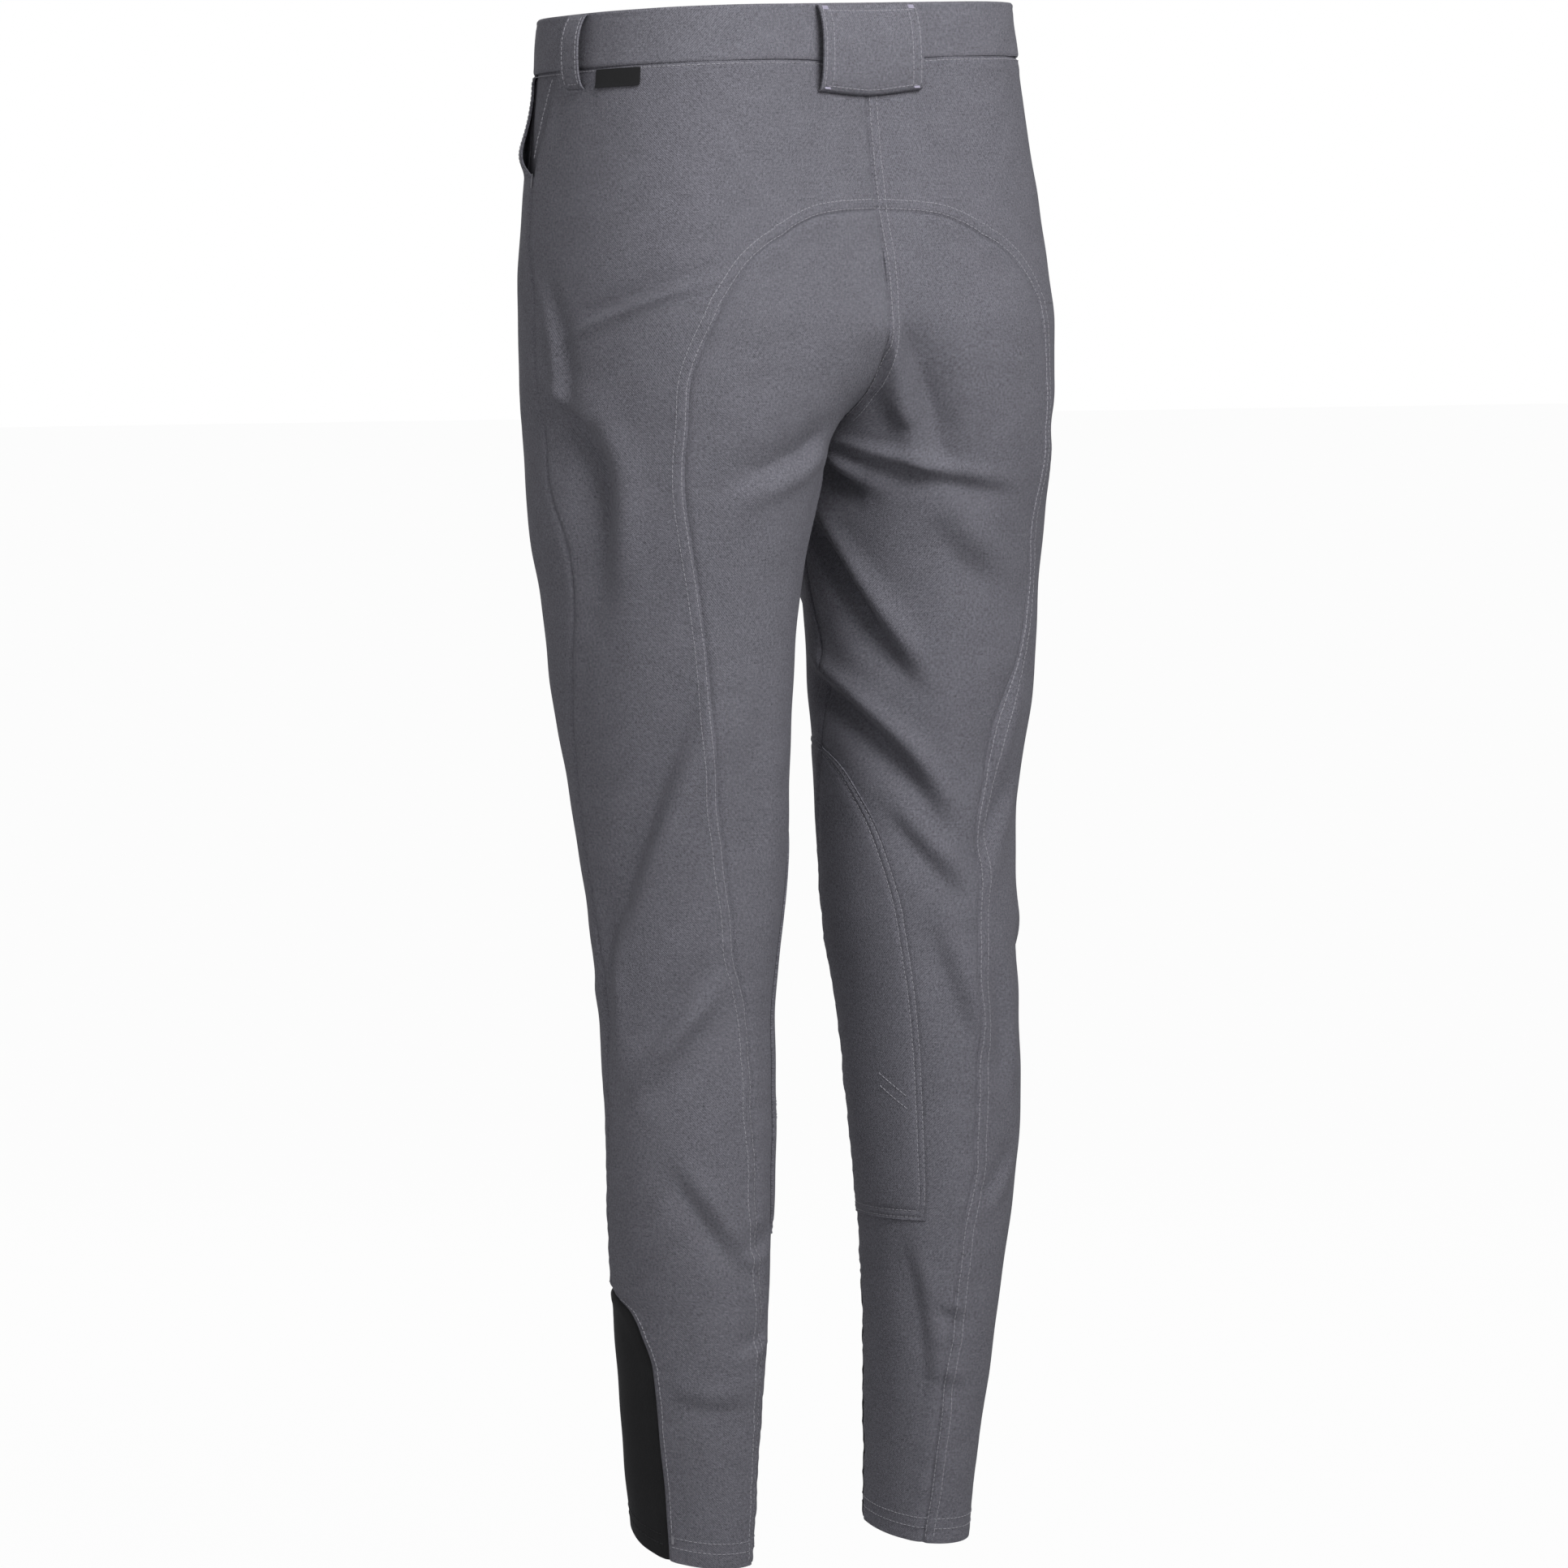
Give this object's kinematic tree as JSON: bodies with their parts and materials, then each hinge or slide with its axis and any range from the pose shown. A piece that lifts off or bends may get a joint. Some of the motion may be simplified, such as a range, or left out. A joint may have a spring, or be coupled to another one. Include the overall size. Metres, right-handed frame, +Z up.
{
  "type": "riding breeches",
  "caption": "Full-seat riding breeches in stretch twill, filled out as worn, with belt loops, slanted pockets, knee patches and stretch shin panels.",
  "frame": {"origin": "inside the waistband, on the garment's centre plane, at the waistband's height, where the wearer holds it up", "axes": "+Z up, the front faces -Y, +X is the wearer's left"},
  "size_m": [0.3439, 0.2351, 0.9697],
  "materials": {
    "twill": "matt grey stretch twill",
    "stretch": "near-black fine stretch knit",
    "tape": "black woven tape, left blank",
    "button": "grey sew-through button"
  },
  "bodies": {
    "root": {"waistband": "twill", "back_loop": "twill", "fly_placket": "twill", "left_side_loop": "twill", "left_front_loop": "twill", "left_front_panel": "twill", "left_outer_panel": "twill", "left_seat_panel": "twill", "left_knee_patch": "twill", "left_pocket_facing": "twill", "right_side_loop": "twill", "right_front_loop": "twill", "right_front_panel": "twill", "right_outer_panel": "twill", "right_seat_panel": "twill", "right_knee_patch": "twill", "right_pocket_facing": "twill", "left_shin_panel": "stretch", "right_shin_panel": "stretch", "side_tab": "tape", "waist_button": "button"}
  },
  "joints": []
}
